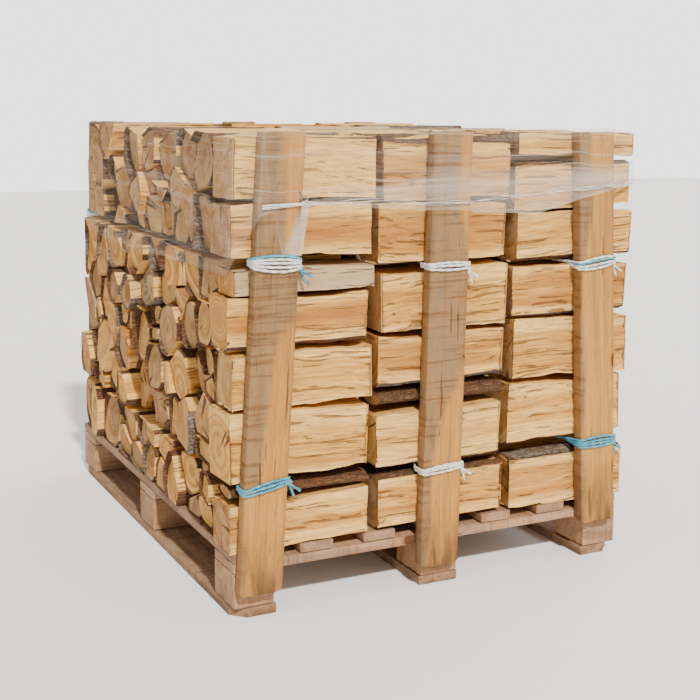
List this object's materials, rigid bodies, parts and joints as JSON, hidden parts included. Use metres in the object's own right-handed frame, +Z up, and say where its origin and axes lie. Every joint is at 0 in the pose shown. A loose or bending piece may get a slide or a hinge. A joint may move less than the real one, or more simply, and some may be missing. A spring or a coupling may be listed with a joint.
{
  "type": "pallet of split firewood",
  "caption": "Block pallet stacked with three rows of split logs, held by upright boards, twine ties and a band of stretch film.",
  "frame": {"origin": "on the floor, under the middle of the pallet", "axes": "+X along the logs, towards the right-hand row; +Y from the front uprights to the back ones; +Z up"},
  "size_m": [1.0382, 1.2772, 1.033],
  "materials": {
    "pallet_wood": "weathered rough-sawn softwood, grey-brown",
    "upright_wood": "rough-sawn golden softwood with grey weathering",
    "split_wood": "freshly split hardwood, cream sapwood and tan heartwood, bark on round sides",
    "stacked_logs": "sawn and split log ends with dark bark rims",
    "twine_blue": "twisted polypropylene twine, blue and white strands",
    "twine_white": "twisted polypropylene twine, mostly white strands",
    "stretch_film": "clear stretch film with fine pull streaks"
  },
  "bodies": {
    "root": {"runner_left": "pallet_wood", "block_front_left": "pallet_wood", "block_middle_left": "pallet_wood", "block_back_left": "pallet_wood", "runner_middle": "pallet_wood", "block_front_middle": "pallet_wood", "block_middle_middle": "pallet_wood", "block_back_middle": "pallet_wood", "runner_right": "pallet_wood", "block_front_right": "pallet_wood", "block_middle_right": "pallet_wood", "block_back_right": "pallet_wood", "stringer_front": "pallet_wood", "stringer_middle": "pallet_wood", "stringer_back": "pallet_wood", "deck_board_1": "pallet_wood", "deck_board_2": "pallet_wood", "deck_board_3": "pallet_wood", "deck_board_4": "pallet_wood", "deck_board_5": "pallet_wood", "deck_board_6": "pallet_wood", "deck_board_7": "pallet_wood", "upright_front_left": "upright_wood", "upright_front_middle": "upright_wood", "upright_front_right": "upright_wood", "upright_back_left": "upright_wood", "upright_back_middle": "upright_wood", "upright_back_right": "upright_wood", "twine_left_lower": "twine_blue", "twine_left_upper": "twine_white", "twine_middle_lower": "twine_white", "twine_middle_upper": "twine_white", "twine_right_lower": "twine_blue", "twine_right_upper": "twine_white", "logs_behind_left": "stacked_logs", "logs_behind_middle": "stacked_logs", "logs_behind_right": "stacked_logs", "log_left_1": "split_wood", "log_left_2": "split_wood", "log_left_3": "split_wood", "log_left_4": "split_wood", "log_left_5": "split_wood", "log_left_6": "split_wood", "log_left_7": "split_wood", "log_left_8": "split_wood", "log_middle_1": "split_wood", "log_middle_2": "split_wood", "log_middle_3": "split_wood", "log_middle_4": "split_wood", "log_middle_5": "split_wood", "log_middle_6": "split_wood", "log_middle_7": "split_wood", "log_right_1": "split_wood", "log_right_2": "split_wood", "log_right_3": "split_wood", "log_right_4": "split_wood", "log_right_5": "split_wood", "log_right_6": "split_wood", "log_right_7": "split_wood", "stretch_film": "stretch_film"}
  },
  "joints": []
}
